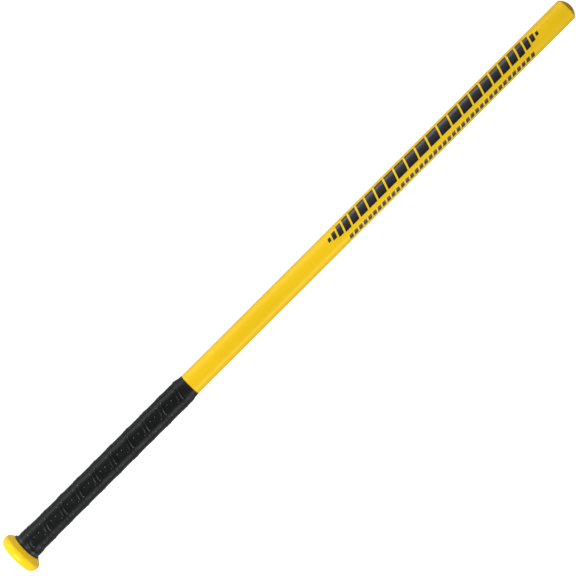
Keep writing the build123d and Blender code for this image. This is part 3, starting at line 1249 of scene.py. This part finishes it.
def studio_floor(studio, touch, slope):
    """A large pale floor that touches the knob and the tip."""
    start_piece()
    bpy.ops.mesh.primitive_plane_add(size=FLOOR_SIZE, location=(0, 0, 0))
    floor = bpy.context.object
    floor.name = "floor"
    floor.rotation_euler = (0, -slope, 0)
    floor.location = touch
    made = bpy.data.materials.new("studio floor")
    tree = empty_tree(made)
    glow = {"Color": WHITE, "Strength": studio.floor_glow}
    pale = add_node(tree, "ShaderNodeBsdfDiffuse", (1, 0), {"Color": grey(studio.floor_tone)})
    glowing = add_node(tree, "ShaderNodeEmission", (1, 1), glow)
    shown = add_node(tree, "ShaderNodeAddShader", (2, 0))
    lit = add_node(tree, "ShaderNodeBsdfDiffuse", (2, 2), {"Color": grey(studio.floor_bounce)})
    wire(tree, (pale, 0, shown, 0), (glowing, 0, shown, 1))
    by_ray(tree, "ShaderNodeOutputMaterial", lit, shown)
    floor.data.materials.append(made)


def lamp(kind, name, place, target, power, **settings):
    """A light that faces a target and that the camera doesn't see."""
    start_piece()
    bpy.ops.object.light_add(type=kind, location=place)
    made = bpy.context.object
    made.name = name
    made.data.energy = power
    for setting, value in settings.items():
        setattr(made.data, setting, value)
    away = Vector(place) - Vector(target)
    made.rotation_euler = away.to_track_quat("Z", "Y").to_euler()
    made.visible_camera = False


def soft_light(name, place, target, wide, tall, power):
    """A rectangular soft light, with its long side along the stick."""
    lamp("AREA", name, place, target, power, shape="RECTANGLE", size=wide, size_y=tall)


def spot_light(name, place, target, cone, power):
    """A narrow soft-edged light, with its cone's width in degrees."""
    soft = {"spot_blend": 0.9, "shadow_soft_size": 0.04}
    lamp("SPOT", name, place, target, power, spot_size=math.radians(cone), **soft)


class STICK_OT_studio(bpy.types.Operator):
    """Sets up the pale floor, the soft lights, the surroundings and the camera."""

    bl_idname = "stick.studio"
    bl_label = "Studio"

    def execute(self, context):
        studio = context.scene.studio
        slope = math.asin((KNOB_RADIUS - BARREL_RADIUS) / (STICK_END - KNOB_END))
        touch = (KNOB_END + context.scene.stick_sizes.crown_middle, 0, -KNOB_RADIUS)
        studio_floor(studio, touch, slope)
        soft_light("side light", (0.2, 1, 0.25), (0.25, 0, 0), 1.9, 0.5, studio.side_power)
        soft_light("fill light", (0.42, -1, 0.25), (0.45, 0, 0), 1.2, 0.5, studio.fill_power)
        soft_light("end light", (-2.2, 0, 2.2), (0.4, 0, 0), 1.8, 1.2, studio.end_power)
        spot_light("knob light", (0.36, 0, 0.46), (0.01, 0, 0.02), 9, studio.knob_power)
        spot_light("tip light", (-0.9, 0, 2), (0.79, 0, 0), 15, studio.tip_power)

        world = bpy.data.worlds.new("studio")
        context.scene.world = world
        tree = empty_tree(world)
        ambient = {"Color": WHITE, "Strength": studio.ambient}
        lit = add_node(tree, "ShaderNodeBackground", (2, 0), ambient)
        shown = add_node(tree, "ShaderNodeBackground", (2, 1), {"Color": WHITE, "Strength": 1})
        by_ray(tree, "ShaderNodeOutputWorld", lit, shown)

        place = (studio.aim, studio.side_step, studio.distance)
        bpy.ops.object.camera_add(location=place, rotation=(0, 0, -studio.roll))
        camera = context.object
        camera.name = "camera"
        camera.data.sensor_width = SENSOR_WIDTH
        camera.data.lens = SENSOR_WIDTH * studio.distance / studio.view_width
        camera.data.clip_end = FAR_LIMIT
        context.scene.camera = camera
        context.scene.view_settings.view_transform = "Standard"
        return {"FINISHED"}


# ---- panel and registration ----

PIECE_OPERATORS = (
    STICK_OT_barrel,
    STICK_OT_end_cap,
    STICK_OT_knob,
    STICK_OT_knob_fittings,
    STICK_OT_wrap,
    STICK_OT_grip_tapes,
    STICK_OT_graphics,
    STICK_OT_studio,
)

SETTINGS = {
    "stick_sizes": StickSizes,
    "grip_sizes": GripSizes,
    "stick_colours": StickColours,
    "studio": StudioSettings,
}


class STICK_PT_panel(bpy.types.Panel):
    """Lists the stick's pieces and settings in the sidebar."""

    bl_idname = "STICK_PT_panel"
    bl_label = "Training stick"
    bl_space_type = "VIEW_3D"
    bl_region_type = "UI"
    bl_category = "Stick"

    def draw(self, context):
        for operator in PIECE_OPERATORS:
            self.layout.operator(operator.bl_idname)
        for name, group in SETTINGS.items():
            box = self.layout.box()
            box.label(text=name.replace("_", " ").capitalize())
            for field in group.__annotations__:
                box.prop(getattr(context.scene, name), field)


CLASSES = (*SETTINGS.values(), *PIECE_OPERATORS, STICK_PT_panel)


def register():
    for each in CLASSES:
        bpy.utils.register_class(each)
    for name, group in SETTINGS.items():
        setattr(bpy.types.Scene, name, bpy.props.PointerProperty(type=group))


def unregister():
    for name in SETTINGS:
        delattr(bpy.types.Scene, name)
    for each in reversed(CLASSES):
        bpy.utils.unregister_class(each)


def main():
    """Makes every piece and the studio."""
    register()
    bpy.ops.stick.studio()
    bpy.ops.stick.barrel()
    bpy.ops.stick.end_cap()
    bpy.ops.stick.knob()
    bpy.ops.stick.knob_fittings()
    bpy.ops.stick.wrap()
    bpy.ops.stick.grip_tapes()
    bpy.ops.stick.graphics()


if __name__ == "__main__":
    main()
